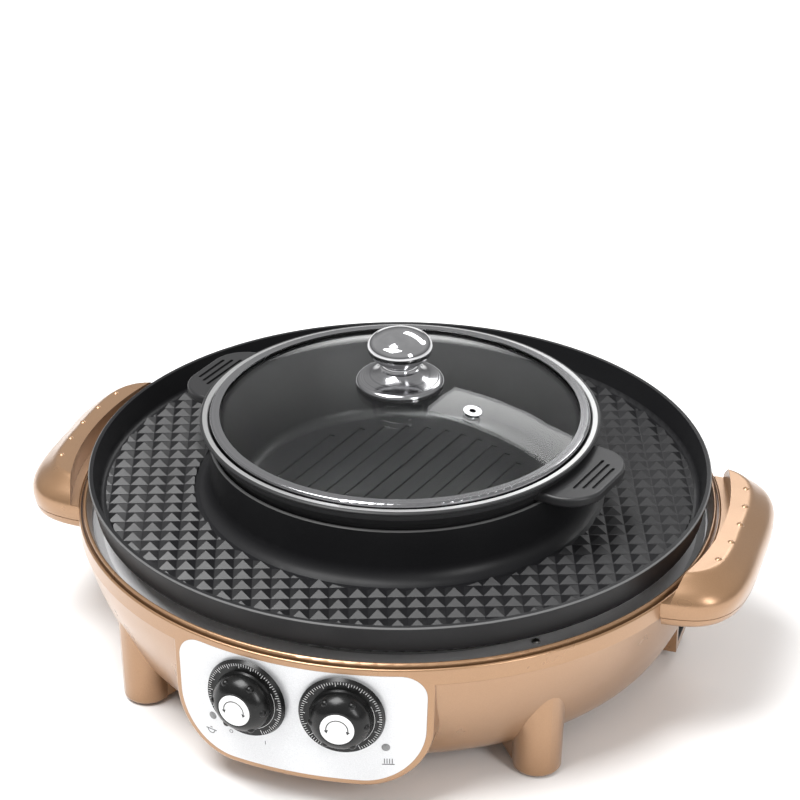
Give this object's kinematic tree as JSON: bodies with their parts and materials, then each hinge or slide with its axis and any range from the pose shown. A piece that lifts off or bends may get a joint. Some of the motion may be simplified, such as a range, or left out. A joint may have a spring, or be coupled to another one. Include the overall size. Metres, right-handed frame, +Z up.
{
  "type": "electric hot pot with grill",
  "caption": "Table-top electric hot pot: heated base with a ring grill pan, a lift-out pot with a glass lid, two dials and side handles.",
  "frame": {"origin": "where the pot's vertical axis meets the surface that the feet stand on", "axes": "+Z up along the pot's axis, -Y towards the user out of the control panel, +X through the right handle as the user sees it"},
  "size_m": [0.4934, 0.4456, 0.2244],
  "materials": {
    "gold_housing": "satin metallic paint",
    "foot_rubber": "matte",
    "seal_silicone": "matte",
    "screw_steel": "satin",
    "panel_silver": "satin",
    "lens_grey": "gloss",
    "lamp_plastic": "gloss",
    "black_plastic": "matte",
    "knob_black": "gloss",
    "cap_white": "satin",
    "shaft_steel": "satin",
    "contact_brass": "satin",
    "reflector_steel": "polished",
    "heater_steel": "satin",
    "bush_ceramic": "matte",
    "fuse_metal": "satin",
    "wire_insulation": "matte",
    "pan_coating": "non-stick coating",
    "pot_coating": "non-stick coating",
    "lid_glass": "clear",
    "lid_steel": "polished",
    "knob_chrome": "polished"
  },
  "bodies": {
    "base": {"lower_shell": "gold_housing", "rubber_feet": "foot_rubber", "bottom_cover": "gold_housing", "cover_screws": "screw_steel", "upper_housing": "gold_housing", "rim_ring": "gold_housing", "panel_plate": "panel_silver", "indicator_lenses": "lens_grey", "indicator_lamps": "lamp_plastic", "pot_thermostat": "black_plastic", "grill_thermostat": "black_plastic", "right_handle_top": "gold_housing", "right_handle_base": "gold_housing", "left_handle_top": "gold_housing", "left_handle_base": "gold_housing", "handle_screws": "screw_steel", "inlet_socket": "black_plastic", "inlet_pins": "contact_brass", "reflector_deck": "reflector_steel", "inner_bowl": "reflector_steel", "deck_screws": "screw_steel", "grill_heater": "heater_steel", "pot_heater": "heater_steel", "heater_bushes": "bush_ceramic", "grill_heater_brackets": "reflector_steel", "pot_heater_brackets": "reflector_steel", "bracket_screws": "screw_steel", "terminal_block": "black_plastic", "thermal_fuse": "fuse_metal", "harness_wires": "wire_insulation"},
    "pot_knob": {"pot_knob_dial": "knob_black", "pot_knob_cap": "cap_white", "pot_knob_shaft": "shaft_steel"},
    "grill_knob": {"grill_knob_dial": "knob_black", "grill_knob_cap": "cap_white", "grill_knob_shaft": "shaft_steel"},
    "pan": {"grill_pan": "pan_coating"},
    "pot": {"pot_shell": "pot_coating"},
    "lid": {"lid_glass": "lid_glass", "lid_gasket": "seal_silicone", "lid_band": "lid_steel", "steam_vent": "lid_steel", "lid_knob_bell": "lid_steel", "lid_knob": "knob_chrome", "lid_pad": "seal_silicone", "lid_knob_screw": "screw_steel"}
  },
  "joints": [
    {"name": "pot_knob_turn", "type": "hinge", "parent": "base", "child": "pot_knob", "pos_m": [-0.03037, -0.21204, 0.0716], "axis": [0.1418, 0.9899, 0], "range_deg": [0, 270]},
    {"name": "grill_knob_turn", "type": "hinge", "parent": "base", "child": "grill_knob", "pos_m": [0.03037, -0.21204, 0.0716], "axis": [-0.1418, 0.9899, 0], "range_deg": [0, 270]},
    {"name": "pan_lift", "type": "slide", "parent": "base", "child": "pan", "axis": [0, 0, 1], "range_m": [0, 0.0795]},
    {"name": "pot_lift", "type": "slide", "parent": "pan", "child": "pot", "axis": [0, 0, 1], "range_m": [0, 0.07]},
    {"name": "lid_lift", "type": "slide", "parent": "pot", "child": "lid", "axis": [0, 0, 1], "range_m": [0, 0.0555]}
  ]
}
